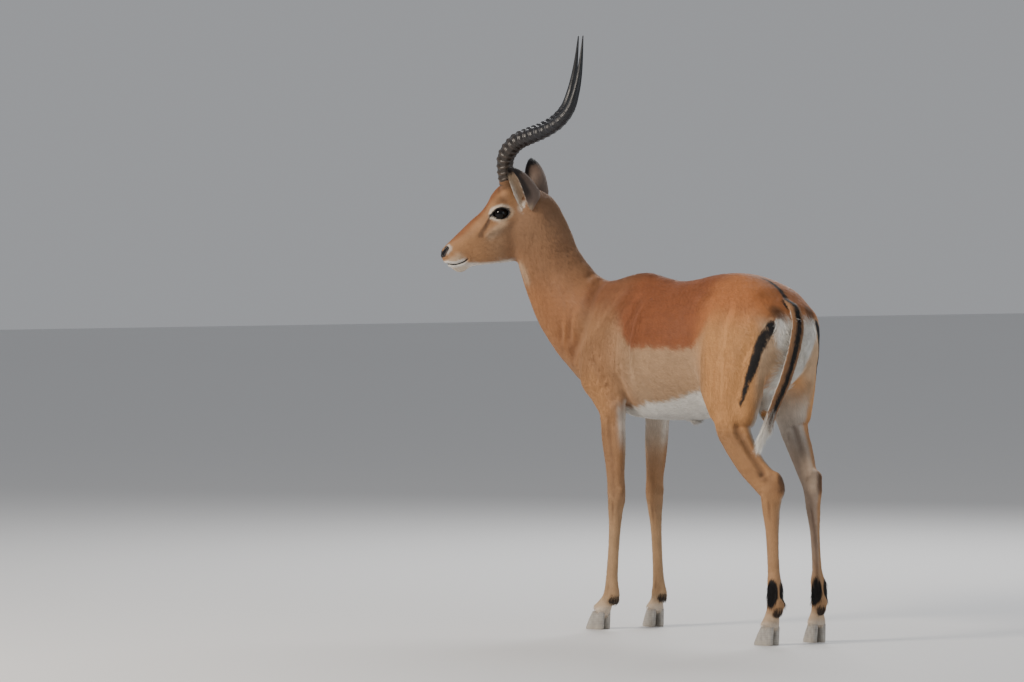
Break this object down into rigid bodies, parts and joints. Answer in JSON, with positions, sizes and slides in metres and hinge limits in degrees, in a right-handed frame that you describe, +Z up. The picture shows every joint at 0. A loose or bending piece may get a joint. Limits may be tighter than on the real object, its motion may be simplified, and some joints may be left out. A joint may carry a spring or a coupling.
{
  "type": "impala antelope model",
  "caption": "Life-size still model of a standing impala ram with lyre-shaped horns, its head turned to its left, for a museum hall or diorama.",
  "frame": {"origin": "on the ground, under the middle of the bounding box", "axes": "+Z up, -Y the way the trunk faces, +X the animal's left"},
  "size_m": [0.4292, 1.0998, 1.5006],
  "materials": {
    "coat": "short flat fur, red-brown above and white below",
    "horn": "ringed dark horn with a satin tip",
    "hoof": "dull, dusty pale horn",
    "eye": "wet gloss, nearly black"
  },
  "bodies": {
    "root": {"trunk": "coat", "neck": "coat", "head": "coat", "tail": "coat", "foreleg_left": "coat", "foreleg_right": "coat", "hindleg_left": "coat", "hindleg_right": "coat", "ear_left": "coat", "ear_right": "coat", "horn_left": "horn", "horn_right": "horn", "eye_left": "eye", "eye_right": "eye", "hoof_fore_left_inner": "hoof", "hoof_fore_left_outer": "hoof", "hoof_fore_right_inner": "hoof", "hoof_fore_right_outer": "hoof", "hoof_hind_left_inner": "hoof", "hoof_hind_left_outer": "hoof", "hoof_hind_right_inner": "hoof", "hoof_hind_right_outer": "hoof"}
  },
  "joints": []
}
